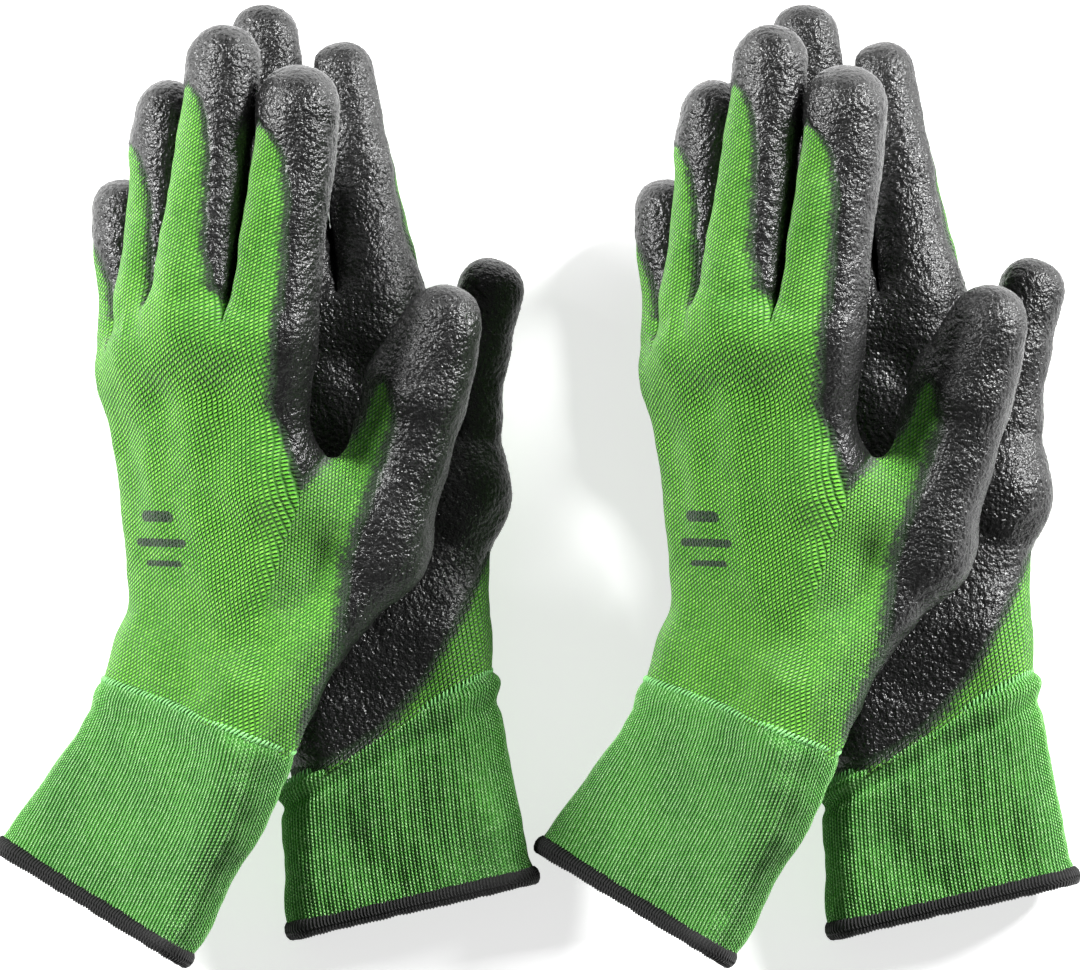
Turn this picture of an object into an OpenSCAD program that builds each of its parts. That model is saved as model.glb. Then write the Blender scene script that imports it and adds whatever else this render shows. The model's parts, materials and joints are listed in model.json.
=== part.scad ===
/* [Fingers] */
// Outer radius of a knitted finger
finger_r = 8.9; // [8.5:0.1:9]
// Distance between neighbouring finger roots
finger_pitch = 20; // [19.8:0.1:20.6]
// Length of the middle finger, root joint to tip
middle_len = 67; // [62:1:70]
// Length of the thumb, root joint to tip
thumb_len = 69; // [62:1:72]
// Outer radius of the knitted thumb
thumb_r = 10.2; // [9.6:0.1:10.4]

/* [Hand] */
// Distance from the cuff seam to the root of the middle finger
palm_len = 118; // [112:1:122]
// Half the thickness of the hand at mid palm
palm_r = 11.6; // [10.5:0.1:12]
// Half the thickness of the hand at the cuff seam
wrist_r = 12.5; // [11.5:0.1:13]

/* [Cuff] */
// Length of the rib cuff without its hem
cuff_len = 55; // [48:1:58]
// Width of the cuff at the hem, lying flat
hem_w = 61; // [56:1:64]
// Length of the overlocked hem band
hem_len = 4.2; // [3:0.1:5]

/* [Layers] */
// Thickness of the knitted liner
knit_t = 1.2; // [1:0.1:1.4]
// Thickness of the foam coating
coat_t = 0.5; // [0.4:0.05:0.6]
// Gap between the liner and its coating
coat_gap = 0.1; // [0.08:0.01:0.15]

/* [Set] */
// Distance between the two pairs
pair_step = 147; // [146:1:180]

/* [Hidden] */
$fn = 32;
soft_fn = 14;
FINGERS = ["index", "middle", "ring", "little", "thumb"];
SIDES = ["left", "right"];

// The left glove of each pair lies on the right glove, palm to palm.
// Rows of each list below: left glove, then right glove.
wrist_at = [[-18.8, -62.4, 36.5], [31.2, -55.7, 12.7]];
hand_yaw = [-2, 9.4];
hand_roll = [42, 0];
// Width of the hand at the cuff seam, wider where it is pressed flatter
wrist_w = [62, 57];
// Slope of the line from one finger root to the next
knuckle_slope = [[12, 50, 66], [3, -2, -5]];
// Index root, measured from the middle of the cuff seam
index_root = [[16.7, 0, 35], [15.9, 0, -1.2]];
thumb_root = [[48, 46.5, 10], [35.5, 45, 1.5]];
// Turn of each digit away from the middle line, and its fall to the palm side
splay = [[5, 3.5, 0, -10, 16], [3.5, 1, -3, -7, 13]];
fall = [[3, 3, 2, 1, 4], [-2.5, -2, -2.5, -2.5, -1]];
// Extra length of each digit, where the knit is pulled out
pull = [[0, 0, 0, 0, 4], [0, 3, 0, 0, -3]];
// How far the little-finger edge of the palm is drawn in
palm_in = [5, 2];
// Lowest angle of the ball at each root; the ball is open below it
ball_low = [45, 45, 45, 45, 34];
// Largest bend of each digit at its root
bend = [40, 40, 40, 40, 30];
// Cuff stations: distance below the seam, turn, roll and height of the middle
cuff_path = [
    [[0, -19, 42, 36.5], [0.3, -27, 38, 28.5], [0.65, -31, 31, 21.5], [1, -31, 22, 17.4]],
    [[0, 9.4, 0, 12.7], [0.3, 9.4, 2, 12.3], [0.65, 10.5, 3, 10.4], [1, 13, 3, 9.6]],
];

// Finger roots lie below the middle finger's by these amounts
root_drop = [3.4, 0, 7, 16];
len_drop = [7, 0, 8, 26];

function digit_len(s, i) = pull[s][i] + (i == 4 ? thumb_len : middle_len - len_drop[i]);
function digit_r(i) = i == 4 ? thumb_r : finger_r;
function tip_r(i) = digit_r(i) * 0.86;
function step_of(s, i) =
    finger_pitch * [-cos(knuckle_slope[s][i]), 0, -sin(knuckle_slope[s][i])];
function knuckle(s, i) =
    i == 0 ? index_root[s] : knuckle(s, i - 1) + step_of(s, i - 1);
function root(s, i) =
    i == 4 ? thumb_root[s] : knuckle(s, i) + [0, palm_len - root_drop[i], 0];
function wrist_end(s, e) =
    e * (wrist_w[s] / 2 - wrist_r) * [cos(hand_roll[s]), 0, sin(hand_roll[s])];
function mix(a, b, t) = a * (1 - t) + b * t;

// Moves a child from the frame of one glove to the table
module glove_frame(s) {
    translate(wrist_at[s]) rotate([0, 0, hand_yaw[s]]) children();
}

// Frame of a digit: origin at its root joint, +Y to its tip, -Z to the palm
module digit_frame(s, i) {
    glove_frame(s)
        translate(root(s, i))
        rotate([0, -hand_roll[s], 0])
        rotate([0, 0, -splay[s][i]])
        rotate([-fall[s][i] * (s == 0 ? 1 : -1), 0, 0])
        mirror([0, 0, s])
        children();
}

// Frame of a root joint: X is its axis, -Z is the palm side
module joint_frame(s, i) {
    translate(root(s, i))
        rotate([0, -hand_roll[s], 0])
        mirror([0, 0, s])
        children();
}

// Radius of a digit's wall at a height above its root
function wall_r(s, i, grow, y) =
    let (t = tip_r(i))
    grow + digit_r(i) + (t - digit_r(i)) * y / (digit_len(s, i) - t);

// Outline of a digit's round tip, down to a height above its root
function tip_wall(s, i, grow, y) =
    let (t = tip_r(i) + grow, len = digit_len(s, i) + grow)
    [
        [wall_r(s, i, grow, y), y],
        for (a = [0 : 9 : 81]) [t * cos(a), len - t + t * sin(a)],
        [0, len],
    ];

// Outline of a digit's ball-shaped root
function ball_wall(i, grow) =
    [for (a = [-ball_low[i] : ball_low[i] / 5 : -1]) (digit_r(i) + grow) * [cos(a), sin(a)]];

module shell_of(outer, inner) {
    polygon(concat(outer, [for (k = [len(inner) - 1 : -1 : 0]) inner[k]]));
}

// Knitted digit: a tube closed at the tip, with an open ball-shaped root
module digit_liner(s, i) {
    color("limegreen")
        digit_frame(s, i)
        rotate([-90, 0, 0])
        rotate_extrude()
        shell_of(
            concat(ball_wall(i, 0), tip_wall(s, i, 0, 0)),
            concat(ball_wall(i, -knit_t), tip_wall(s, i, -knit_t, 0))
        );
}

// Foam coating of a digit: palm side, both sides and the whole fingertip
module digit_coating(s, i) {
    start = i == 4 ? 7 : 5;
    cap = digit_len(s, i) - 16;
    side_z = 3;
    color("dimgray")
        digit_frame(s, i)
        difference() {
            rotate([-90, 0, 0])
                rotate_extrude()
                shell_of(
                    tip_wall(s, i, coat_gap + coat_t, start),
                    tip_wall(s, i, coat_gap, start)
                );
            translate([-30, start - 5, side_z]) cube([60, cap - start + 5, 30]);
        }
}

module ball(at, r) {
    translate(at) sphere(r = r, $fn = soft_fn);
}

// Thin disc across the glove at the cuff seam
module wrist_disc(s, e, grow, thick) {
    rotate([0, 0, cuff_path[s][0][1] - hand_yaw[s]])
        translate(wrist_end(s, e))
        rotate([90, 0, 0])
        cylinder(r = wrist_r + grow, h = thick, center = true, $fn = 20);
}

// Filled body of the hand, from the cuff seam to the finger roots
module hand_solid(s, grow, thick) {
    knuckle_r = finger_r + 0.7 + knit_t + grow;
    thumb_root_r = thumb_r + 0.8 + knit_t + grow;
    mid_ulnar = mix(wrist_end(s, -1), root(s, 3), 0.5) + [palm_in[s], 0, 0];
    mid_radial = mix(wrist_end(s, 1), root(s, 0), 0.52);
    hull() {
        wrist_disc(s, -1, grow, thick);
        wrist_disc(s, 1, grow, thick);
        ball(mid_ulnar, palm_r + grow);
        ball(mid_radial, palm_r + grow);
    }
    hull() {
        ball(mid_ulnar, palm_r + grow);
        ball(mid_radial, palm_r + grow);
        for (i = [0 : 3]) ball(root(s, i), knuckle_r);
    }
    hull() {
        wrist_disc(s, 1, grow, thick);
        ball(mix(wrist_end(s, 1), mid_radial, 0.6), palm_r + grow);
        ball(root(s, 4), thumb_root_r);
    }
    hull() {
        ball(mid_radial, palm_r + grow);
        ball(mix(root(s, 4), mid_radial, 0.12), thumb_root_r - 1.5);
        ball(mix(wrist_end(s, 1), mid_radial, 0.6), palm_r + grow);
    }
}

// Space that a digit needs at its root, at rest and fully bent
module bend_space(s, i, inward, outward, forward) {
    reach = 16;
    low = -reach * tan(bend[i] + 18);
    joint_frame(s, i)
        rotate([90, 0, 90])
        translate([0, 0, -inward])
        linear_extrude(height = inward + outward)
        polygon([[0.6, 0], [0.6, reach], [forward, reach], [forward, -reach], [low, -reach]]);
}

module root_spaces(s) {
    half = finger_pitch / 2 + 0.2;
    past = 15;
    for (i = [0 : 3])
        bend_space(s, i, i == 3 ? past : half, i == 0 ? past : half, 20);
    bend_space(s, 4, thumb_r + 1.6, past, 24);
}

// Knitted body of the hand, open at the cuff and at each digit
module hand_liner(s) {
    color("forestgreen")
        difference() {
            glove_frame(s) hand_solid(s, 0, 0.01);
            glove_frame(s) hand_solid(s, -knit_t, 2);
            glove_frame(s) root_spaces(s);
            below_table();
        }
}

// The knit of the lower glove is pressed flat where it lies on the table
module below_table() {
    translate([-200, -200, -20]) cube([400, 400, 20]);
}

// Everything on the palm side of the middle of the hand
module palm_half(s) {
    palm_way = s == 0 ? -50 : 50;
    out = 24;
    hull()
        for (p = [wrist_end(s, -1), wrist_end(s, 1), root(s, 0), root(s, 3)])
            translate(p)
                rotate([0, -hand_roll[s], 0])
                for (e = [-out, out])
                    translate([e, p[1] > 50 ? 20 : 5, palm_way / 2])
                    cube([0.1, 0.1, abs(palm_way)], center = true);
}

module palm_coating(s) {
    color("dimgray")
        glove_frame(s)
        difference() {
            intersection() {
                hand_solid(s, coat_gap + coat_t, 0.01);
                palm_half(s);
            }
            hand_solid(s, coat_gap, 2);
            root_spaces(s);
        }
}

// One station of the cuff: a flat oval across its path
module cuff_station(s, k, grow, thick) {
    st = cuff_path[s][k];
    r = mix(wrist_r, 7, st[0]) + grow;
    w = mix(wrist_w[s], hem_w, st[0]);
    half = w / 2 - mix(wrist_r, 7, st[0]);
    translate([0, 0, st[3]])
        rotate([0, 0, st[1]])
        rotate([0, -st[2], 0])
        for (e = [-1, 1])
            translate([e * half, 0, 0])
            rotate([90, 0, 0])
            cylinder(r = r, h = thick, center = true, $fn = 20);
}

function turn_at(s, k) = cuff_path[s][k][1];
function cuff_xy(s, k) =
    k == 0 ? [wrist_at[s][0], wrist_at[s][1] - 0.1, 0] :
    let (a = (turn_at(s, k) + turn_at(s, k - 1)) / 2)
    cuff_xy(s, k - 1)
        - cuff_len * (cuff_path[s][k][0] - cuff_path[s][k - 1][0]) * [-sin(a), cos(a), 0];

module cuff_solid(s, grow, thick) {
    for (k = [0 : 2])
        hull() {
            translate(cuff_xy(s, k)) cuff_station(s, k, grow, thick);
            translate(cuff_xy(s, k + 1)) cuff_station(s, k + 1, grow, thick);
        }
}

// Rib-knit cuff, an open sleeve
module cuff(s) {
    color("mediumseagreen")
        difference() {
            cuff_solid(s, 0, 0.01);
            cuff_solid(s, -knit_t - 0.2, 2);
        }
}

// Overlocked band round the end of the cuff
module hem(s) {
    a = turn_at(s, 3);
    down = [sin(a), -cos(a), 0];
    color("black")
        difference() {
            hull() {
                translate(cuff_xy(s, 3) + 0.2 * down) cuff_station(s, 3, 0.8, 0.01);
                translate(cuff_xy(s, 3) + hem_len * down) cuff_station(s, 3, 0.8, 0.01);
            }
            hull() {
                translate(cuff_xy(s, 3) - down) cuff_station(s, 3, -1.6, 0.01);
                translate(cuff_xy(s, 3) + (hem_len + 1) * down) cuff_station(s, 3, -1.6, 0.01);
            }
        }
}

module piece(s, part) {
    digit = search([part], [for (f = FINGERS) str(f, "_liner")])[0];
    coated = search([part], [for (f = FINGERS) str(f, "_coating")])[0];
    if (is_num(digit)) digit_liner(s, digit);
    if (is_num(coated)) digit_coating(s, coated);
    if (part == "hand_liner") hand_liner(s);
    if (part == "palm_coating") palm_coating(s);
    if (part == "cuff") cuff(s);
    if (part == "hem") hem(s);
}

PARTS = concat(
    [for (f = FINGERS) str(f, "_liner")],
    [for (f = FINGERS) str(f, "_coating")],
    ["hand_liner", "palm_coating", "cuff", "hem"]
);
function node_name(p, s, part) = str("pair", p + 1, "_", SIDES[s], "_", part);

for (p = [0, 1])
    for (s = [0, 1])
        for (part = PARTS)
            translate([(p - 0.5) * pair_step, 0, 0]) piece(s, part);
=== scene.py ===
import json
import math

import bmesh
import bpy
import numpy as np
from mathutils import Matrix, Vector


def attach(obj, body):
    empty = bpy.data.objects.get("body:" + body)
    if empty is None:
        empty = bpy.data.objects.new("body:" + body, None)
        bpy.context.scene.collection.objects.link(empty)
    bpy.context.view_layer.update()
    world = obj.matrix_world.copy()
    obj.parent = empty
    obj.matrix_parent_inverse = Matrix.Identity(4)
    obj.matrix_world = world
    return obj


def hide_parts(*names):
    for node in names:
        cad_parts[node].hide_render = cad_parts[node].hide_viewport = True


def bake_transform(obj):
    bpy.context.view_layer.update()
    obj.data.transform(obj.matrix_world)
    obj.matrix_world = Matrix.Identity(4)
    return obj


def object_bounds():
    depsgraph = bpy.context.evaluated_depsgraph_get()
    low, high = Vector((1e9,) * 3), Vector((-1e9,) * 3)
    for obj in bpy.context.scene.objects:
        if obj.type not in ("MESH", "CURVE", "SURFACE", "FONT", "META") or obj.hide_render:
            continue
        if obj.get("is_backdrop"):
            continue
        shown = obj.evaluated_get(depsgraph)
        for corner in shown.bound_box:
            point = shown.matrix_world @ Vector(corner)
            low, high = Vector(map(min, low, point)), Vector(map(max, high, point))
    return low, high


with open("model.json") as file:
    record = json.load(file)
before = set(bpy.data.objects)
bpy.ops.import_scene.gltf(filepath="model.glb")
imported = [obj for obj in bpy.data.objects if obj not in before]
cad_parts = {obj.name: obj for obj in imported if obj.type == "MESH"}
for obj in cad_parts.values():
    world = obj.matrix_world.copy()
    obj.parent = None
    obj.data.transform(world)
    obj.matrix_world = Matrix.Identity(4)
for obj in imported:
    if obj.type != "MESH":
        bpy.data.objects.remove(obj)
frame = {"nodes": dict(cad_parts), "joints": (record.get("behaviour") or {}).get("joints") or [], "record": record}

import openvdb as vdb
from mathutils import Matrix, Vector

# Work is done in millimetres and written to the meshes in metres. Short names:
# p is an array of points, v and q are the corners and quads of a mesh, n the
# outward ways at its corners, and w a share from 0 to 1 that blends two values.
MM = 0.001
CAD_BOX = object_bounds()
# Edge of the lattice cells that the skins are meshed on
VOXEL = 1.1
DIGITS = ["index", "middle", "ring", "little", "thumb"]
# Thickness of the knit
KNIT_THICK = 1.2
# The foam's inner face lies this far under its outer one, and the foam runs on
# past the edge that is seen to where its mask has this value
FOAM_THICK = 0.9
FOAM_END = -1.6
# Two fingers that touch are kept this far from the plane between them
CONTACT_GAP = 0.25
# Half of the gap between the right thumb and the palm
THUMB_GAP = 1.2
# CAD corners of the cuff this near to the hand are on the cuff seam
SEAM_REACH = 2.3


# ---------------------------------------------------------------- small maths
def unit(v):
    return v / np.linalg.norm(v)


def ramp(x, lo, hi):
    """0 at lo, 1 at hi, smooth between."""
    u = np.clip((x - lo) / (hi - lo), 0, 1)
    return u * u * (3 - 2 * u)


def merge(a, b, k):
    """Smooth union of two distances."""
    h = np.maximum(k - np.abs(a - b), 0) / k
    return np.minimum(a, b) - h * h * k / 4


def cut(a, b, k):
    """Smooth intersection of two distances."""
    return -merge(-a, -b, k)


def noise(p, size, seed):
    """Smooth noise, about -1 to 1, from sine waves at odd angles."""
    gen = np.random.default_rng(seed)
    out = np.zeros(len(p), np.float32)
    for _ in range(14):
        way = unit(gen.normal(size=3)) * (2 * math.pi / (size * gen.uniform(0.6, 1.5)))
        out += np.sin(p @ way.astype(np.float32) + gen.uniform(0, 2 * math.pi))
    return out / 5


def cone(p, a, b, ra, rb, flat=1.0, back=None):
    """Distance to a tapered capsule, thinner along back by the factor flat."""
    ab = b - a
    t = np.clip(((p - a) @ ab) / (ab @ ab), 0, 1)
    q = p - a - t[:, None] * ab
    r2 = (q * q).sum(1)
    if back is not None:
        r2 = r2 + (1 / flat**2 - 1) * (q @ back) ** 2
    return np.sqrt(r2) - (ra + (rb - ra) * t)


# ------------------------------------------------------- what the frame says
def points(node):
    """Corners of a CAD node, in millimetres."""
    mesh = frame["nodes"][node].data
    co = np.empty(len(mesh.vertices) * 3)
    mesh.vertices.foreach_get("co", co)
    return co.reshape(-1, 3) / MM


def joint_of(body):
    return next(j for j in frame["joints"] if j["child"] == body)


def oval(p, thumb_way, up_way):
    """Middle, directions and half widths of the oval that holds a ring of points.

    Its wide way points to the thumb, its up way to the fingertips.
    """
    mid = p.mean(0)
    _, _, axes = np.linalg.svd(p - mid, full_matrices=False)
    wide = axes[0] * np.sign(axes[0] @ thumb_way)
    up = axes[2] * np.sign(axes[2] @ up_way)
    thin = np.cross(wide, up)
    thin = thin * np.sign(thin[2])
    q = p - mid
    return dict(mid=mid, wide=wide, thin=thin, up=up,
                a=np.abs(q @ wide).max(), b=np.abs(q @ thin).max())


def read_glove(side):
    """Directions, joints and rings of the first pair's glove on one side."""
    name = "pair1_" + side
    glove = dict(side=side, name=name, digits=[])
    for part in DIGITS:
        joint = joint_of(f"{name}_{part}")
        root = np.array(joint["pos_m"]) / MM
        p = points(f"{name}_{part}_liner") - root
        far = p[np.argsort(-np.linalg.norm(p, axis=1))[:6]].mean(0)
        way = unit(far)
        back = -unit(np.cross(np.array(joint["axis"]), way))
        glove["digits"].append(dict(root=root, way=way, len=(p @ way).max(), back=back))
    glove["X"] = unit(np.array(joint["axis"]))
    if (glove["digits"][4]["root"] - glove["digits"][3]["root"]) @ glove["X"] < 0:
        glove["X"] = -glove["X"]
    hand, cuff, hem = (points(f"{name}_{n}") for n in ("hand_liner", "cuff", "hem"))
    near = cuff[[np.linalg.norm(hand - c, axis=1).min() < SEAM_REACH for c in cuff]]
    for _ in range(4):
        ring = oval(near, glove["X"], glove["digits"][1]["way"])
        off = np.abs((near - ring["mid"]) @ ring["up"])
        near = near[off <= max(0.5, np.percentile(off, 80))]
    glove["seam"] = ring
    mount = next(m for m in frame["record"]["mounts"] if m["name"] == name + "_cuff_mouth")
    down = np.array(mount["axis"])
    end = hem[hem @ down > (hem @ down).max() - 0.5]
    glove["hem"] = oval(end, glove["X"], -down)
    glove["back"] = unit(sum(digit["back"] for digit in glove["digits"][:4]))
    glove["back"] = unit(glove["back"] - (glove["back"] @ glove["X"]) * glove["X"])
    glove["Y"] = np.cross(glove["back"], glove["X"])
    glove["Y"] = glove["Y"] * np.sign(glove["Y"] @ glove["digits"][1]["way"])
    glove["face"] = glove["back"] * np.sign(glove["back"][2])
    return glove


# ----------------------------------------------------------- how gloves are made
# Digits from index to thumb: half width at the root, half width at the tip, and
# how far the root and the tip are moved toward the thumb
DIGIT_SHAPE = dict(
    left=[(12.7, 11.7, 0, 0), (12.4, 10.2, 0, 0), (10.9, 9.4, 1, 2),
          (9.4, 8.6, 3.8, 3.5), (15.6, 10.8, -3.6, -1)],
    right=[(12.0, 8.2, 0, -3.2), (12.0, 8.6, 0, 0), (11.6, 9.0, 0, 0),
           (10.6, 8.6, 0, 0), (9.8, 8.8, -6.5, -2)],
)
# Thickness of a digit as a share of its width
FLAT = dict(left=0.93, right=0.87)
# Half the thickness of the palm
PALM_HALF = 11.4
# Where the bones of the four fingers meet the wrist, in shares of its half width
WRIST_SHARES = (0.8, 0.27, -0.32, -0.98)
# Widths over which fingers run into each other, and the palm into the rest
FINGER_BLEND = 7
PALM_BLEND = 9
# Crotches lie this far below the line between two finger roots
CROTCH_DROP = dict(left=(11, 5, 9), right=(9, 9, 9))
# The uncoated strip on the back of each digit: middle and half width in degrees,
# and the length of the coated tip
STRIP = dict(
    left=[(-18, 60, 17), (-28, 58, 17), (-32, 58, 18), (-38, 62, 16), (-2, 32, 29)],
    right=[(35, 66, 18), (0, 70, 18), (0, 70, 18), (0, 70, 16), (0, 70, 20)],
)
# The coating covers the hand up to this height above its middle
COAT_HEIGHT = dict(left=-2.0, right=0.5)
# Edge of the coating round the ball of the left thumb: places along the hand,
# and how far across the hand it lies there
BALL_EDGE = ((0, 20, 45, 83), (38, 48, 50, 65))
# The cuff starts this far below the CAD seam, and its seam leans by this turn
SEAM_DROP = dict(left=0.0, right=10.5)
SEAM_LEAN = dict(left=-3.0, right=20.0)
# The knit's underside is pressed flat at this height above the CAD floor
FLOOR_LIFT = 0.7
# A finger has cloth of its own from this height above its crotches
OWN_CLOTH = -4
# Start and end of each digit's bend, along the digit from its root
BEND_RANGE = [(-4, 12)] * 4 + [(14, 36)]
# The left glove is turned about its length: what is this much across for each
# millimetre of depth lies along one line of sight from above
LEFT_TURN = 0.896


def add_skeleton(glove):
    """Chains of points that the cloth is wrapped around."""
    side = glove["side"]
    seam = glove["seam"]
    span = seam["a"] - seam["b"]
    wrist = [seam["mid"] + seam["wide"] * span * e + seam["up"] * 20 for e in WRIST_SHARES]
    for i, digit in enumerate(glove["digits"]):
        digit["X"] = unit(glove["X"] - (glove["X"] @ digit["way"]) * digit["way"])
        digit["back"] = np.cross(digit["X"], digit["way"])
        digit["back"] = digit["back"] * np.sign(digit["back"] @ glove["back"])
        digit["r"], digit["r_tip"], root_move, tip_move = DIGIT_SHAPE[side][i]
        digit["base"] = wrist[i] if i < 4 else seam["mid"] + seam["wide"] * span + seam["up"] * 10
        digit["shift"] = root_move * digit["X"]
        reach = digit["way"] * (digit["len"] - digit["r_tip"])
        digit["tip"] = digit["root"] + reach + tip_move * digit["X"]
    glove["crotch"] = []
    for k in range(3):
        a, b = glove["digits"][k], glove["digits"][k + 1]
        up = unit(a["way"] + b["way"])
        across = b["root"] - a["root"]
        across = unit(across - (across @ up) * up)
        at = (a["root"] + b["root"]) / 2 - CROTCH_DROP[side][k] * up
        glove["crotch"].append(dict(at=at, up=up, across=across))
    lean = Matrix.Rotation(math.radians(SEAM_LEAN[side]), 3, Vector(glove["face"]))
    glove["cut_up"] = unit(np.array(lean @ Vector(seam["up"])))
    glove["cut_at"] = seam["mid"] - seam["up"] * SEAM_DROP[side]


def finger_distance(glove, i, p):
    """Distance to one finger with its own part of the palm."""
    digit = glove["digits"][i]
    root = digit["root"] + digit["shift"]
    low = root - 6 * digit["way"]
    flat = FLAT[glove["side"]]
    free = cone(p, low, digit["tip"], digit["r"], digit["r_tip"], flat, digit["back"])
    knuckle = min(PALM_HALF, digit["r"]) - 0.4
    bone = cone(p, root - 2 * digit["way"], digit["base"], knuckle, PALM_HALF)
    return merge(free, bone, 4)


def thumb_distance(glove, p):
    """Distance to the thumb and the ball below it."""
    digit = glove["digits"][4]
    root = digit["root"] + digit["shift"]
    knee = digit["root"] + digit["way"] * (digit["len"] * 0.6) + digit["shift"]
    r_knee = digit["r"] * 0.72 + digit["r_tip"] * 0.28
    low = cone(p, root, knee, digit["r"], r_knee, 0.82, digit["back"])
    high = cone(p, knee, digit["tip"], r_knee, digit["r_tip"], 0.9, digit["back"])
    ball = cone(p, root, digit["base"], digit["r"] - 1.5, PALM_HALF + 0.4, 0.85, digit["back"])
    return merge(merge(low, high, 3), ball, 5)


def sleeve_distance(glove, p):
    """The wrist, an upright oval that the cuff goes on from."""
    s = glove["seam"]
    q = p - s["mid"]
    x, z, y = np.abs(q @ s["wide"]), q @ s["thin"], q @ s["up"]
    y_cut = (p - glove["cut_at"]) @ glove["cut_up"]
    r = s["b"] - 7 * ramp(y, 10, 30) - 0.7 * ramp(-y_cut, 0, 1.5)
    body = np.hypot(np.maximum(x - (s["a"] - s["b"]), 0), z) - r
    return np.maximum(body, y - 26)


def web_distance(glove, p):
    """Cloth between the thumb and the palm, and across the knuckles."""
    digits = glove["digits"]
    thumb = digits[4]["root"] + digits[4]["shift"] + 2 * digits[4]["way"]
    inner = digits[0]["base"] * 0.5 + digits[0]["root"] * 0.5
    out = cone(p, thumb, inner, PALM_HALF + 0.6, PALM_HALF)
    for k in range(3):
        ends = [e["root"] + e["shift"] - 15 * e["way"] for e in (digits[k], digits[k + 1])]
        radii = [min(PALM_HALF, e["r"]) - 0.8 for e in (digits[k], digits[k + 1])]
        out = np.minimum(out, cone(p, *ends, *radii))
    return out


def palm_distance(glove, p, own):
    """The glove above the cuff without its thumb, the fingers run together."""
    out = own[0]
    for finger in own[1:]:
        out = merge(out, finger, FINGER_BLEND)
    out = merge(out, web_distance(glove, p), PALM_BLEND)
    return merge(out, sleeve_distance(glove, p), PALM_BLEND)


def hand_distance(glove, p, own):
    """The whole glove above the cuff."""
    palm = palm_distance(glove, p, own)
    thumb = thumb_distance(glove, p)
    joined = merge(palm, thumb, PALM_BLEND)
    if glove["side"] == "left":
        return joined
    # above its root the right thumb lies beside the palm without joining it
    digit = glove["digits"][4]
    apart = np.maximum(np.minimum(palm, thumb), THUMB_GAP - np.abs(palm - thumb) / 2)
    w = ramp((p - digit["root"] - digit["shift"]) @ digit["way"], 13, 20)
    return joined * (1 - w) + apart * w


def crotch_values(glove, p):
    """For each gap between fingers: distance across it, and height above its crotch."""
    across = [(p - c["at"]) @ c["across"] for c in glove["crotch"]]
    height = [(p - c["at"]) @ c["up"] for c in glove["crotch"]]
    return across, height


def zone_of(glove, p):
    """The finger nearest a point, and the height of the point above its crotches.

    At the thumb the height is far below any crotch.
    """
    across, height = crotch_values(glove, p)
    owner = (across[0] > 0).astype(int)
    owner[(owner == 1) & (across[1] > 0)] = 2
    owner[(owner == 2) & (across[2] > 0)] = 3
    left = np.choose(owner, [height[0], height[0], height[1], height[2]])
    right = np.choose(owner, [height[0], height[1], height[2], height[2]])
    height = np.maximum(left, right)
    at_thumb = thumb_distance(glove, p) < finger_distance(glove, 0, p)
    return owner, np.where(at_thumb, -99.0, height)


def shell_field(glove, p, finger=None):
    """Distance to the outside of the knit; with a finger, its own side walls too."""
    own = [finger_distance(glove, i, p) for i in range(4)]
    out = hand_distance(glove, p, own)
    if finger is not None:
        across, height = crotch_values(glove, p)
        for k in (finger - 1, finger):
            if 0 <= k <= 2:
                w = ramp(height[k], 0, 7) * (np.abs(across[k]) < 14)
                out = out * (1 - w) + np.where(w > 0, own[finger], out) * w
        for k, sign in ((finger - 1, -1), (finger, 1)):
            if 0 <= k <= 2:
                gap = np.minimum(sign * across[k] + CONTACT_GAP, height[k])
                out = cut(out, gap, 2.5)
    out = cut(out, FLOOR_LIFT - p[:, 2], 2.0)
    if glove["side"] == "left" and "below" in glove:
        low = glove["below"]
        other = hand_distance(low, p, [finger_distance(low, i, p) for i in range(4)])
        out = cut(out, 1.0 - other, 2.0)
    return out


# ---------------------------------------------------------------- meshing
def wrap(field, lo, hi):
    """Quads of the zero surface of a field, on a lattice shared by every call."""
    a = np.floor(np.array(lo) / VOXEL).astype(int) - 2
    b = np.ceil(np.array(hi) / VOXEL).astype(int) + 3
    axes = [(np.arange(a[k], b[k]) * VOXEL).astype(np.float32) for k in range(3)]
    p = np.stack(np.meshgrid(*axes, indexing="ij"), -1)
    far = 3 * VOXEL
    d = np.clip(field(p.reshape(-1, 3)), -far, far).reshape(p.shape[:3])
    grid = vdb.FloatGrid(background=far)
    grid.copyFromArray(np.ascontiguousarray(d, dtype=np.float32))
    v, q = grid.convertToQuads(isovalue=0.0)
    return (np.asarray(v) + a) * VOXEL, np.asarray(q).astype(int)


def weld(parts):
    """Join meshes whose border corners coincide."""
    bm = bmesh.new()
    for v, q in parts:
        rows = [bm.verts.new(c) for c in v]
        for f in q:
            bm.faces.new([rows[k] for k in f])
    bmesh.ops.remove_doubles(bm, verts=bm.verts, dist=0.004)
    bmesh.ops.delete(bm, geom=[v for v in bm.verts if not v.link_faces], context="VERTS")
    bm.verts.index_update()
    v = np.array([c.co for c in bm.verts])
    q = np.array([[c.index for c in f.verts] for f in bm.faces if len(f.verts) == 4])
    bm.free()
    return v, q


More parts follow.
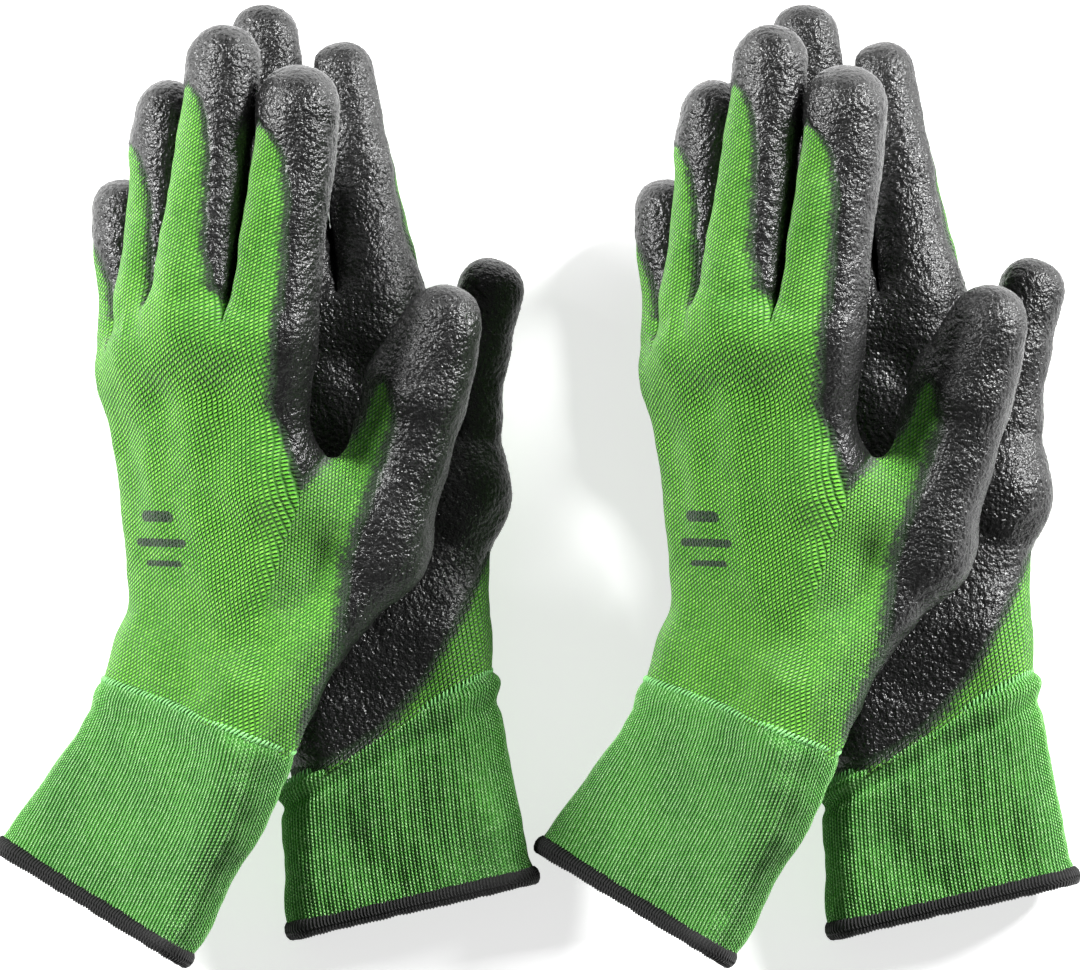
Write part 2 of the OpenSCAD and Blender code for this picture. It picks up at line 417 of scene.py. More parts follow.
def glove_skin(glove):
    """One welded outer surface, the hand's and thumb's and four fingers'."""
    ends = [digit["tip"] for digit in glove["digits"]]
    ends += [glove["cut_at"] - 20 * glove["seam"]["up"]]
    ends += [glove["cut_at"] + e * glove["seam"]["wide"] * glove["seam"]["a"] for e in (-1, 1)]
    lo = np.min(ends, axis=0) - 16
    hi = np.max(ends, axis=0) + 16
    parts = [wrap(lambda p: shell_field(glove, p), lo, hi)]
    for i in range(4):
        digit = glove["digits"][i]
        a, b = digit["root"] - 26 * digit["way"], digit["tip"]
        lo = np.minimum(a, b) - 17
        hi = np.maximum(a, b) + 17
        parts.append(wrap(lambda p: shell_field(glove, p, i), lo, hi))
    kept = []
    for k, (v, q) in enumerate(parts):
        c = v[q].mean(1)
        owner, height = zone_of(glove, c)
        zone = np.where(height > OWN_CLOTH, owner, -1)
        keep = zone == k - 1
        keep &= (c - glove["cut_at"]) @ glove["cut_up"] > -3
        used, faces = take(q, keep)
        kept.append((v[used], faces))
    v, q = weld(kept)
    n = corner_normals(v, q)
    probe = v[::97]
    if np.mean((shell_field(glove, probe + 0.5 * n[::97]) - shell_field(glove, probe))) < 0:
        q = q[:, ::-1]
        n = -n
    return v, q, n


def corner_normals(v, q):
    """Outward ways at the corners, from the faces round each."""
    f = np.cross(v[q[:, 2]] - v[q[:, 0]], v[q[:, 3]] - v[q[:, 1]])
    n = np.zeros_like(v)
    for k in range(4):
        np.add.at(n, q[:, k], f)
    return n / np.maximum(np.linalg.norm(n, axis=1), 1e-9)[:, None]


def push(v, n):
    """Soft unevenness of a glove that has been worn flat and laid down."""
    room = ramp(v[:, 2], FLOOR_LIFT + 0.2, FLOOR_LIFT + 3)
    return v + n * (room * (0.38 * noise(v, 17, 5) + 0.14 * noise(v, 6, 6)))[:, None]


def hand_coords(glove, p):
    """Across, along and above the middle of the hand."""
    q = p - glove["seam"]["mid"]
    return q @ glove["X"], q @ glove["Y"], q @ glove["back"]


def around(digit, p, shift=0.0):
    """Angle about a digit from the middle of its back, and distance up from its root."""
    q = p - digit["root"] - shift
    return np.degrees(np.arctan2(q @ digit["X"], q @ digit["back"])), q @ digit["way"]


def knit_coords(glove, p, n):
    """Millimetres across and along the knit, smooth over the whole glove."""
    x, y, h = hand_coords(glove, p)
    if glove["side"] == "left":
        # laid as seen from above, so that the rows run on over the ball of the thumb
        s = x + ramp(x, 5, 25) * LEFT_TURN * np.maximum(8 - h, 0)
    else:
        # laid on the back of the hand and turned down over both its edges
        nx = n @ glove["X"]
        s = x + np.sign(nx) * ramp(np.abs(nx), 0.45, 1.0) * np.clip(8 + h, 0, 10) * 0.8
    t = y.copy()
    owner, height = zone_of(glove, p)
    for i, digit in enumerate(glove["digits"]):
        if i == 4 and glove["side"] == "left":
            continue
        shift = digit["shift"]
        theta, along = around(digit, p, shift)
        x0, y0, _ = hand_coords(glove, digit["root"][None] + shift)
        si = x0 + digit["r"] * np.radians(theta)
        ti = y0 + along
        if i < 4:
            w = ramp(height, -6, 14) * (owner == i)
        else:
            near = np.minimum.reduce([finger_distance(glove, k, p) for k in range(2)])
            w = ramp(near - thumb_distance(glove, p), -8, 14) * ramp(along, 10, 45)
        s = s * (1 - w) + si * w
        t = t * (1 - w) + ti * w
    return s, t


def strip_mask(glove, i, theta, along):
    """Millimetres into the coating from the edge of a digit's uncoated strip."""
    digit = glove["digits"][i]
    middle, half, cap = STRIP[glove["side"]][i]
    top = digit["len"] - cap
    arch = 20 if i < 4 else 30
    open_half = half * np.sqrt(np.clip(1 - np.clip((along - top + arch) / arch, 0, 1) ** 2, 0, 1))
    open_half = open_half + 12 * ramp(digit["len"] - along, 30, 70) * (i < 4)
    off = np.abs((theta - middle + 180) % 360 - 180)
    return np.radians(off - open_half) * digit["r"] + np.maximum(along - top, 0)


def hand_coat(glove, p):
    """Millimetres into the coating on the palm and the back of the hand."""
    x, _, h = hand_coords(glove, p)
    edge = np.full(len(p), COAT_HEIGHT[glove["side"]])
    for c in glove["crotch"]:
        near = np.exp(-(np.linalg.norm(p - c["at"], axis=1) / 9) ** 2)
        edge = edge + near * 5.5
    hand = edge - h
    if glove["side"] == "right":
        return hand
    # the left coating also covers the index finger's side of the hand, and
    # draws back from the ball of the thumb
    digit = glove["digits"][0]
    q = p - digit["root"]
    turn = math.radians(44)
    depth = -(q @ digit["way"])
    hand = hand - 34 * ramp(x, -8, 28) * ramp(depth, 38, 58)
    side = (q @ digit["X"]) * math.cos(turn) - (q @ digit["back"]) * math.sin(turn)
    side = side - 2.5 * ramp(depth, 5, 25) - 1.5 * np.maximum(depth - 44, 0)
    return np.maximum(hand, side)


def finger_coat(glove, p, hand, owner):
    """Millimetres into the coating on the four fingers."""
    finger = hand
    for i in range(4):
        theta, along = around(glove["digits"][i], p)
        finger = np.where(owner == i, strip_mask(glove, i, theta, along), finger)
    if glove["side"] == "right":
        return finger
    # between two left fingers the coating narrows to a point at the crotch
    _, _, h = hand_coords(glove, p)
    across, up = crotch_values(glove, p)
    for k in range(3):
        off = np.abs(across[k])
        near = np.isin(owner, (k, k + 1)) & (h > -1) & (off < 12) & (up[k] < 34)
        finger = np.where(near, np.minimum(finger, 0.8 + 0.4 * up[k] - off), finger)
    return finger


def left_thumb_coat(glove, p, n, out):
    """The left mask with the thumb, the web and the ball of the thumb put in."""
    digit = glove["digits"][4]
    theta, along = around(digit, p, digit["shift"])
    w = thumb_share(glove, p)
    low = np.radians(np.maximum(theta - 28 - 10 * ramp(-along, 0, 40), -theta - 125)) * digit["r"]
    band = (n @ unit(digit["way"] - 0.35 * digit["X"])) * 9 - 4.5
    below = np.maximum(low, np.minimum(band, 6))
    up = ramp(along, 12, 24)
    thumb = strip_mask(glove, 4, theta, along) * up + below * (1 - up)
    saddle = band * ramp(along, 2, 12) - 6 * ramp(-along, -12, 0)
    out = np.maximum(out, np.where(np.abs(along - 14) < 22, saddle, -9))
    out = out * (1 - w) + thumb * w
    # seen from above, a black point reaches down between index and thumb,
    # and the coating wraps round the outer side of the ball of the thumb
    x, y, h = hand_coords(glove, p)
    u = x - LEFT_TURN * h
    point = np.minimum(u - 23.4 - 0.55 * (78 - y), 0.7 * (y - 61.2 - 0.97 * (u - 32.7)))
    outer = 0.6 * (u - np.interp(y, *BALL_EDGE))
    lower = np.maximum(np.maximum(point, outer), -8 * n[:, 2] - 2)
    w = ramp(-y, -86, -76) * ramp(u, 12, 18)
    return out * (1 - w) + np.minimum(lower, 8) * w


def right_thumb_coat(glove, p, out):
    """The right mask with the thumb put in, ended above the wrist by its rim."""
    digit = glove["digits"][4]
    theta, along = around(digit, p, digit["shift"])
    thumb = strip_mask(glove, 4, theta, along)
    w = thumb_share(glove, p)
    up = ramp(along, -4, 14)
    out = out * (1 - w * up) + thumb * w * up
    x, y, _ = hand_coords(glove, p)
    rim = np.minimum(-19.5 + 0.0145 * np.maximum(x + 25, 0) ** 2, 30)
    return np.minimum(out, (y - rim) * 0.8)


def thumb_share(glove, p):
    """1 on the thumb and its ball, 0 on the fingers, smooth between."""
    fingers = np.minimum.reduce([finger_distance(glove, k, p) for k in range(2)])
    return ramp(fingers - thumb_distance(glove, p), -3, 5)


def coat_mask(glove, p, n):
    """Millimetres into the coating; below zero where the knit is bare."""
    owner, height = zone_of(glove, p)
    hand = hand_coat(glove, p)
    finger = finger_coat(glove, p, hand, owner)
    w = ramp(height, -3, 9)
    out = hand * (1 - w) + finger * w
    if glove["side"] == "left":
        out = left_thumb_coat(glove, p, n, out)
    else:
        out = right_thumb_coat(glove, p, out)
    return out + 0.3 * noise(p, 8, 11) + 0.3 * noise(p, 2.6, 12) + 0.25 * noise(p, 1.5, 13)


# ---------------------------------------------------------------- mesh pieces
def halve(v, q, extra):
    """Split each quad in four; extra holds arrays carried along with the corners."""
    e = np.sort(np.concatenate([q[:, [0, 1]], q[:, [1, 2]], q[:, [2, 3]], q[:, [3, 0]]]), axis=1)
    pairs, back = np.unique(e, axis=0, return_inverse=True)
    back = back.reshape(-1)
    m = len(q)
    a, b, c, d = (back[k * m:(k + 1) * m] + len(v) for k in range(4))
    mid = np.arange(m) + len(v) + len(pairs)
    out = [np.concatenate([x, x[pairs].mean(1), x[q].mean(1)]) for x in [v] + extra]
    quads = np.concatenate([
        np.stack([q[:, 0], a, mid, d], 1), np.stack([a, q[:, 1], b, mid], 1),
        np.stack([mid, b, q[:, 2], c], 1), np.stack([d, mid, c, q[:, 3]], 1)])
    return out[0], quads, out[1:]


def take(q, keep):
    """The corners that the kept faces use, and those faces numbered by them."""
    used, back = np.unique(q[keep], return_inverse=True)
    return used, back.reshape(-1, 4)


def thicken(v, q, n, thick):
    """A closed shell: the surface, its inner copy, and a rim round each open edge."""
    m = len(v)
    v2 = np.concatenate([v, v - n * thick])
    e = np.concatenate([q[:, [0, 1]], q[:, [1, 2]], q[:, [2, 3]], q[:, [3, 0]]])
    key = np.sort(e, axis=1)
    _, first, count = np.unique(key, axis=0, return_index=True, return_counts=True)
    rim = e[first[count == 1]]
    side = np.stack([rim[:, 1], rim[:, 0], rim[:, 0] + m, rim[:, 1] + m], 1)
    return v2, np.concatenate([q, q[:, ::-1] + m, side]), np.concatenate([n, -n])


def make_mesh(name, v, q, normals=None, attrs=None):
    """Blender mesh of quads, with named vectors at its corners."""
    mesh = bpy.data.meshes.new(name)
    mesh.vertices.add(len(v))
    mesh.vertices.foreach_set("co", (np.asarray(v) * MM).astype(np.float32).ravel())
    mesh.loops.add(q.size)
    mesh.loops.foreach_set("vertex_index", q.astype(np.int32).ravel())
    mesh.polygons.add(len(q))
    mesh.polygons.foreach_set("loop_start", np.arange(0, q.size, q.shape[1], dtype=np.int32))
    mesh.update(calc_edges=True)
    mesh.shade_smooth()
    for key, value in (attrs or {}).items():
        layer = mesh.attributes.new(key, "FLOAT_VECTOR", "POINT")
        layer.data.foreach_set("vector", np.asarray(value, dtype=np.float32).ravel())
    if normals is not None:
        mesh.normals_split_custom_set_from_vertices(normals.tolist())
    return mesh


def add_piece(name, mesh, material, body, nodes=(), bend=None):
    """Both pairs' copies of a piece; one without a bend is put on its own body, one with a bend is left free with
    its place baked in.
    """
    for pair in (1, 2):
        data = mesh.copy()
        shift = Vector(PAIR_STEP * (pair - 1))
        data.transform(Matrix.Translation(shift))
        data.materials.append(material)
        obj = bpy.data.objects.new(name.replace("pair1", f"pair{pair}"), data)
        bpy.context.scene.collection.objects.link(obj)
        here = lambda text: text.replace("pair1", f"pair{pair}")
        if bend:
            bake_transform(obj)
        else:
            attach(obj, here(body))
        if nodes:
            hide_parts(*[here(n) for n in nodes])


def pieces_of_skin(glove, v, q):
    """Face groups: 0 to 4 for the digits beyond their cut, 5 for the hand."""
    c = v[q].mean(1)
    owner, height = zone_of(glove, c)
    group = np.full(len(q), 5)
    for i in range(4):
        _, along = around(glove["digits"][i], c)
        group[(owner == i) & (height > OWN_CLOTH) & (along > BEND_RANGE[i][0])] = i
    _, along = around(glove["digits"][4], c)
    own = [finger_distance(glove, k, c) for k in range(4)]
    rest = palm_distance(glove, c, own) if glove["side"] == "right" else np.minimum.reduce(own)
    is_thumb = (along > BEND_RANGE[4][0]) & (thumb_distance(glove, c) < rest) & (group == 5)
    group[is_thumb] = 4
    return group


def bend_of(glove, k):
    """The body a digit's cloth goes over to, and where it starts and ends doing so."""
    if k == 5:
        return None
    digit = glove["digits"][k]
    lo, hi = BEND_RANGE[k]
    root, way = digit["root"], digit["way"]
    return f'{glove["name"]}_{DIGITS[k]}', root + lo * way, root + hi * way


def build_hand(glove):
    """Knit and coating of the hand and the five digits."""
    v, q, n = glove_skin(glove)
    v = push(v, n)
    n = corner_normals(v, q)
    s, t = knit_coords(glove, v, n)
    mask = coat_mask(glove, v, n)
    group = pieces_of_skin(glove, v, q)
    x, y, h = hand_coords(glove, v)
    knit = np.stack([s, t, mask], 1)
    place = np.stack([x, y, h * np.sign(glove["face"] @ glove["back"])], 1)
    for k in range(6):
        used, faces = take(q, group == k)
        v2, q2, n2 = thicken(v[used], faces, n[used], KNIT_THICK)
        attrs = dict(knit=np.tile(knit[used], (2, 1)), place=np.tile(place[used], (2, 1)))
        part = "hand" if k == 5 else DIGITS[k]
        mesh = make_mesh(f'{glove["name"]}_{part}_knit', v2, q2, n2, attrs)
        nodes = [f'{glove["name"]}_{part}_liner']
        add_piece(mesh.name, mesh, KNIT, glove["name"], nodes, bend_of(glove, k))
    build_coat(glove, v, q, n, mask, group)


def build_coat(glove, v, q, n, mask, group):
    """Foam layer over the knit, crinkled all over.

    Its edge runs just below the knit's surface, where it can't be seen.
    """
    keep = mask[q].max(1) > FOAM_END
    group = group[keep]
    used, q = take(q, keep)
    v, n, mask = v[used], n[used], mask[used]
    v, q, (n, mask) = halve(v, q, [n, mask])
    group = np.tile(group, 4)
    n = n / np.linalg.norm(n, axis=1)[:, None]
    thick = -0.3 + 0.7 * ramp(mask, -1.4, 4.5)
    crinkle = 0.2 * noise(v, 3.0, 21) + 0.4 * noise(v, 1.7, 22) + 0.5 * noise(v, 1.2, 23)
    crinkle = crinkle * 0.15 * ramp(mask, 0, 3) * ramp(v[:, 2], 1.2, 4)
    v = v + n * (thick + crinkle)[:, None]
    n = corner_normals(v, q)
    attrs = np.stack([mask, mask * 0, mask * 0], 1)
    for k in range(6):
        used, faces = take(q, group == k)
        v2, q2, n2 = thicken(v[used], faces, n[used], FOAM_THICK)
        part = "palm" if k == 5 else DIGITS[k]
        coat = np.tile(attrs[used], (2, 1))
        mesh = make_mesh(f'{glove["name"]}_{part}_foam', v2, q2, n2, dict(coat=coat))
        nodes = [f'{glove["name"]}_{part}_coating']
        add_piece(mesh.name, mesh, FOAM, glove["name"], nodes, bend_of(glove, k))


# ---------------------------------------------------------------- cuff and hem
def cuff_frame(glove, v):
    """Middle, directions and half widths of the cuff at v from 0, the seam, to 1, the hem."""
    s, e = glove["seam"], glove["hem"]
    span = np.linalg.norm(e["mid"] - s["mid"])
    h = v * v * (3 - 2 * v)
    mid = s["mid"] * (1 - h) + e["mid"] * h
    mid = mid - s["up"] * span * (v**3 - 2 * v**2 + v) - e["up"] * span * (v**3 - v**2)
    wide = unit(s["wide"] * (1 - v) + e["wide"] * v)
    thin = s["thin"] * (1 - v) + e["thin"] * v
    thin = unit(thin - (thin @ wide) * wide)
    return mid, wide, thin, s["a"] * (1 - v) + e["a"] * v, s["b"] * (1 - v) + e["b"] * v


def oval_point(a, b, u):
    """Point and outward way of a flat oval at u, 0 to 1 of its length from its thumb end."""
    straight = a - b
    total = 4 * straight + 2 * math.pi * b
    length = (u % 1) * total
    quarter = math.pi * b / 2
    if length < quarter:
        k = length / b
        return straight + b * math.cos(k), b * math.sin(k), math.cos(k), math.sin(k)
    length -= quarter
    if length < 2 * straight:
        return straight - length, b, 0.0, 1.0
    length -= 2 * straight
    if length < 2 * quarter:
        k = length / b
        return -straight - b * math.sin(k), b * math.cos(k), -math.sin(k), math.cos(k)
    length -= 2 * quarter
    if length < 2 * straight:
        return -straight + length, -b, 0.0, -1.0
    k = (length - 2 * straight) / b
    return straight + b * math.sin(k), -b * math.cos(k), math.sin(k), -math.cos(k)


def cuff_ring(glove, v, us):
    """Points and outward ways round the cuff at one height."""
    mid, wide, thin, a, b = cuff_frame(glove, v)
    xs = np.array([oval_point(a, b, u) for u in us])
    p = mid + xs[:, :1] * wide + xs[:, 1:2] * thin
    n = xs[:, 2:3] * wide + xs[:, 3:4] * thin
    return p, n


def tube_quads(rows, cols):
    """Quads of a closed tube of rings."""
    i = np.arange(rows - 1)[:, None] * cols
    j = np.arange(cols)[None]
    k = (j + 1) % cols
    return np.stack([i + j, i + cols + j, i + cols + k, i + k], -1).reshape(-1, 4)


# Height of the roll just below the cuff seam, and depth of the groove under it
SEAM_ROLL = dict(left=(0.35, 0.3), right=(1.3, 1.1))
# Ribs round the cuff, and stitches along each
RIBS = 148
RIB_ROWS = 62
# Overlock stitches round the hem, and the half thickness and half height of its roll
HEM_STITCHES = 170
HEM_HALF = (1.7, 2.5)
# The roll's middle lies this far inside the cuff's own outline
HEM_IN = 0.6
# What would dip under these heights, on the hem and on the seam, is pressed flat
HEM_FLOOR = 0.25
THREAD_FLOOR = 0.2
# Distance between the thread bars of the cuff seam, and their half length and
# half thickness
SEAM_PITCH = 1.25
BAR_HALF = 1.25
BAR_THICK = 0.33


def cuff_grid(glove, rows, cols):
    """Rings of the bare cuff, gathered on to the slanted seam column by column.

    Gives the points, their outward ways, and each point's place down the cuff.
    """
    us = np.arange(cols) / cols
    rings = [cuff_ring(glove, v, us) for v in np.linspace(0, 1, rows)]
    p = np.array([r[0] for r in rings])
    n = np.array([r[1] for r in rings])
    high = (p - glove["cut_at"]) @ glove["cut_up"]
    down = np.empty((rows, cols))
    grid = np.linspace(0, 1, rows)
    for c in range(cols):
        start = np.interp(0, -high[:, c], grid)
        down[:, c] = start + (1 - start) * grid
    index = down * (rows - 1)
    low = np.clip(index.astype(int), 0, rows - 2)
    f = (index - low)[..., None]
    col = np.arange(cols)[None].repeat(rows, 0)
    p = p[low, col] * (1 - f) + p[low + 1, col] * f
    n = n[low, col] * (1 - f) + n[low + 1, col] * f
    return p, n, down


def cuff_relief(glove, p, u, down, grid):
    """How far ribs, sag and the seam's roll and groove stand out from the bare cuff."""
    rows, cols = down.shape
    flat = p.reshape(-1, 3)
    rib = 0.16 * np.cos(2 * math.pi * RIBS * u) + 0.06 * np.cos(2 * math.pi * RIBS / 4 * u)
    sag = (0.5 * noise(flat, 26, 31) + 0.12 * noise(flat, 8, 32)).reshape(rows, cols)
    ends = ramp(down, 0, 0.12) * ramp(1 - down, 0, 0.1)
    room = ramp(p[..., 2], 1.0, 4.0)
    first = ramp(grid[:, None], 0, 0.04)
    roll, groove = SEAM_ROLL[glove["side"]]
    rib = rib + roll * np.exp(-((grid[:, None] - 0.06) / 0.045) ** 2)
    rib = rib - groove * np.exp(-((grid[:, None] - 0.16) / 0.045) ** 2)
    return rib * first + sag * ends * room


def build_cuff(glove):
    """Rib-knit sleeve, its overlocked hem and the stitched seam."""
    cols = RIBS * 4
    rows = 130
    p, n, down = cuff_grid(glove, rows, cols)
    u = (np.arange(cols) / cols)[None].repeat(rows, 0)
    p = p + n * cuff_relief(glove, p, u, down, np.linspace(0, 1, rows))[..., None]
    knit = np.stack([u * RIBS, down * RIB_ROWS, down], -1).reshape(-1, 3)
    q = tube_quads(rows, cols)
    v = p.reshape(-1, 3)
    out = corner_normals(v, q)
    if np.mean((out * n.reshape(-1, 3)).sum(1)) < 0:
        q, out = q[:, ::-1], -out
    v, q, _ = thicken(v, q, out, KNIT_THICK)
    mesh = make_mesh(f'{glove["name"]}_rib_cuff', v, q, None, dict(knit=np.tile(knit, (2, 1))))
    add_piece(mesh.name, mesh, RIB, glove["name"], [f'{glove["name"]}_cuff'])
    build_hem(glove)
    build_seam(glove, p[0], n[0])


def build_hem(glove):
    """Black overlocked roll round the open end."""
    cols = 900
    us = np.arange(cols) / cols
    ring, out = cuff_ring(glove, 1.0, us)
    up = glove["hem"]["up"]
    turns = 12
    rows = []
    for k in range(turns):
        a = 2 * math.pi * k / turns
        wave = 1 + 0.07 * np.cos(2 * math.pi * HEM_STITCHES * us + 1.2 * a)
        wave = wave + 0.05 * noise(ring, 12, 41)
        r_out = HEM_HALF[0] * wave
        r_up = HEM_HALF[1] * (wave + 0.05 * noise(ring, 5, 42))
        side = out * (math.cos(a) * r_out - HEM_IN)[:, None]
        rows.append(ring + side + up * (math.sin(a) * r_up)[:, None])
    v = np.array(rows).reshape(-1, 3)
    v[:, 2] = np.maximum(v[:, 2], HEM_FLOOR)
    q = tube_quads(turns + 1, cols) % len(v)
    n = corner_normals(v, q)
    middle = np.tile(ring - HEM_IN * out, (turns, 1))
    if np.mean((n * (v - middle)).sum(1)) < 0:
        q = q[:, ::-1]
    along = np.tile(us * HEM_STITCHES, turns)
    turn = np.repeat(np.arange(turns) / turns, cols)
    knit = np.stack([along, turn, turn], 1)
    mesh = make_mesh(f'{glove["name"]}_hem_roll', v, q, None, dict(knit=knit))
    add_piece(mesh.name, mesh, HEM, glove["name"], [f'{glove["name"]}_hem'])


def build_seam(glove, ring, out):
    """Row of slanted thread bars where the cuff is sewn on."""
    step = np.linalg.norm(np.roll(ring, -1, axis=0) - ring, axis=1)
    length = np.cumsum(step)
    count = int(length[-1] / SEAM_PITCH)
    spots = np.interp(np.arange(count) * SEAM_PITCH, length, np.arange(len(ring))).astype(int)
    bars, quads, used = [], [], 0
    sides, rounds = 6, 7
    for k in spots:
        along = unit(ring[(k + 3) % len(ring)] - ring[k - 3])
        way = unit(0.55 * along - 0.85 * glove["cut_up"])
        flat = np.cross(way, out[k])
        for r in range(rounds):
            f = r / (rounds - 1) * 2 - 1
            thick = BAR_THICK * math.sqrt(max(1 - f * f * 0.92, 0.01))
            mid = ring[k] + way * f * BAR_HALF + out[k] * (0.28 - 0.42 * f * f)
            for a in np.arange(sides) * 2 * math.pi / sides:
                bars.append(mid + thick * (math.cos(a) * flat + 0.8 * math.sin(a) * out[k]))
        quads.append(tube_quads(rounds, sides) + used)
        used += rounds * sides
    v = np.array(bars)
    v[:, 2] = np.maximum(v[:, 2], THREAD_FLOOR)
    mesh = make_mesh(f'{glove["name"]}_seam_stitches', v, np.concatenate(quads))
    add_piece(mesh.name, mesh, THREAD, glove["name"])


# ---------------------------------------------------------------- materials
class Shader:
    """Short names for building a node tree."""

    def __init__(self, name):
        self.mat = bpy.data.materials.new(name)
        self.mat.use_nodes = True
        self.tree = self.mat.node_tree
        self.bsdf = self.tree.nodes["Principled BSDF"]

    def node(self, kind, **values):
        n = self.tree.nodes.new(kind)
        for key, value in values.items():
            setattr(n, key, value)
        return n

    def put(self, socket, value):
        if hasattr(value, "is_output"):
            self.tree.links.new(value, socket)
        else:
            socket.default_value = value

    def math(self, op, a, b=0.0, c=0.0):
        n = self.node("ShaderNodeMath", operation=op)
        for socket, value in zip(n.inputs, (a, b, c)):
            self.put(socket, value)
        return n.outputs[0]

    def ramp(self, x, lo, hi, out_lo=0.0, out_hi=1.0):
        n = self.node("ShaderNodeMapRange", interpolation_type="SMOOTHSTEP")
        for socket, value in zip(n.inputs, (x, lo, hi, out_lo, out_hi)):
            self.put(socket, value)
        return n.outputs[0]

    def mix(self, f, a, b, blend="MIX"):
        n = self.node("ShaderNodeMix", data_type="RGBA", blend_type=blend)
        self.put(n.inputs[0], f)
        self.put(n.inputs[6], a)
        self.put(n.inputs[7], b)
        return n.outputs[2]

    def noise(self, scale, detail):
        n = self.node("ShaderNodeTexNoise")
        self.put(n.inputs["Scale"], scale)
        self.put(n.inputs["Detail"], detail)
        self.put(n.inputs["Vector"], self.node("ShaderNodeNewGeometry").outputs["Position"])
        return n.outputs["Fac"]

    def attribute(self, name):
        n = self.node("ShaderNodeAttribute", attribute_name=name)
        xyz = self.node("ShaderNodeSeparateXYZ")
        self.put(xyz.inputs[0], n.outputs["Vector"])
        return xyz.outputs

    def bump(self, height, distance, strength=1.0, normal=None):
        n = self.node("ShaderNodeBump")
        self.put(n.inputs["Height"], height)
        self.put(n.inputs["Distance"], distance)
        self.put(n.inputs["Strength"], strength)
        if normal is not None:
            self.put(n.inputs["Normal"], normal)
        return n.outputs[0]

    def finish(self, color, roughness, normal=None, sheen=0.0, specular=0.5):
        self.put(self.bsdf.inputs["Base Color"], color)
        self.put(self.bsdf.inputs["Roughness"], roughness)
        self.put(self.bsdf.inputs["Sheen Weight"], sheen)
        self.put(self.bsdf.inputs["Specular IOR Level"], specular)
        if normal is not None:
            self.put(self.bsdf.inputs["Normal"], normal)
        return self.mat


def dashes(m, s, t):
    """Height of slanting stitches, one per unit of s and t, each column half a stitch up."""
    u = m.math("SUBTRACT", m.math("FRACT", s), 0.5)
    step = m.math("MULTIPLY", m.math("FLOOR", s), 0.5)
    lean = m.math("SUBTRACT", m.math("ADD", t, step), m.math("MULTIPLY", u, 0.55))
    row = m.math("ABSOLUTE", m.math("SUBTRACT", m.math("FRACT", lean), 0.5))
    return m.math("MULTIPLY", m.ramp(row, 0.5, 0.1), m.ramp(m.math("ABSOLUTE", u), 0.52, 0.2))


def knit_material():
    """Bright green plain knit with painted shade in the gaps between its stitches, dark where the coating has
    soaked in.
    """
    m = Shader("bright knit")
    knit = m.attribute("knit")
    place = m.attribute("place")
    turned = m.math("SUBTRACT", knit[1], m.math("MULTIPLY", knit[0], 0.12))
    height = dashes(m, m.math("DIVIDE", knit[0], 1.2), m.math("DIVIDE", turned, 1.05))
    cloud = m.noise(55, 3)
    fleck = m.noise(900, 2)
    green = m.mix(m.ramp(cloud, 0.35, 0.65), (0.075, 0.33, 0.014, 1), (0.11, 0.41, 0.022, 1))
    green = m.mix(m.ramp(fleck, 0.45, 0.75), green, (0.21, 0.58, 0.06, 1))
    green = m.mix(1.0, green, (1.25, 1.25, 1.25, 1), "MULTIPLY")
    # painted shade: between the stitches the green is drawn near black, as shade in the gaps of the knit
    painted_gap_shade = m.mix(0.88, green, (0.010, 0.075, 0.002, 1))
    color = m.mix(height, painted_gap_shade, green)
    ragged = m.math("MULTIPLY", m.math("SUBTRACT", m.noise(800, 3), 0.5), 6.0)
    soak = m.math("ADD", knit[2], ragged)
    color = m.mix(m.ramp(soak, -2.6, 0.6), color, (0.010, 0.028, 0.008, 1))
    color = m.mix(printed_mark(m, place), color, (0.012, 0.035, 0.012, 1))
    bump = m.bump(height, 0.0009, 1.0)
    fuzz = m.bump(fleck, 0.00015, 0.5, bump)
    return m.finish(color, 0.85, fuzz, sheen=0.15, specular=0.25)


def rounded_bar(m, place, x, y, half, thick):
    """1 inside a plain bar with round ends."""
    off = m.math("ABSOLUTE", m.math("SUBTRACT", place[0], x))
    dx = m.math("MAXIMUM", m.math("SUBTRACT", off, half), 0)
    dy = m.math("SUBTRACT", place[1], y)
    d = m.math("SQRT", m.math("ADD", m.math("MULTIPLY", dx, dx), m.math("MULTIPLY", dy, dy)))
    return m.ramp(d, thick + 0.15, thick - 0.15)


# Each bar's place across and along the hand, half length and half thickness
MARK_BARS = [(-3, 52, 5.0, 1.5), (-3, 45, 9.0, 1.1), (-3, 39.5, 6.5, 0.8)]


def printed_mark(m, place):
    """Three plain bars on the back of the hand, in place of any lettering."""
    total = 0.0
    for x, y, half, thick in MARK_BARS:
        total = m.math("MAXIMUM", rounded_bar(m, place, x, y, half, thick), total)
    up = m.ramp(place[2], 3.0, 5.0)
    worn = m.ramp(m.noise(1300, 2), 0.3, 0.5, 0.75, 1.0)
    return m.math("MULTIPLY", m.math("MULTIPLY", total, up), worn)


def foam_material():
    """Black foam, half shiny, with painted light on its raised crinkles and the green showing through its thin
    edge.
    """
    m = Shader("crinkled foam")
    coat = m.attribute("coat")
    fine = m.noise(1500, 2)
    folds = m.noise(820, 2)
    cloud = m.ramp(m.noise(45, 3), 0.35, 0.7)
    tone = m.mix(cloud, (0.004, 0.004, 0.004, 1), (0.007, 0.007, 0.007, 1))
    # painted light and shade: where the folds noise raises the crinkles the black is drawn paler, and it stays
    # darker in the creases between them
    tone = m.mix(m.ramp(folds, 0.5, 0.72), tone, (0.012, 0.012, 0.012, 1))
    tint = m.ramp(coat[0], 0.3, 2.6, 0.75, 0.0)
    color = m.mix(tint, tone, (0.018, 0.05, 0.014, 1))
    bump = m.bump(folds, 0.0007, 1.0)
    bump = m.bump(fine, 0.0003, 0.8, bump)
    rough = m.ramp(fine, 0.3, 0.7, 0.26, 0.38)
    return m.finish(color, rough, bump, sheen=0.0, specular=0.45)


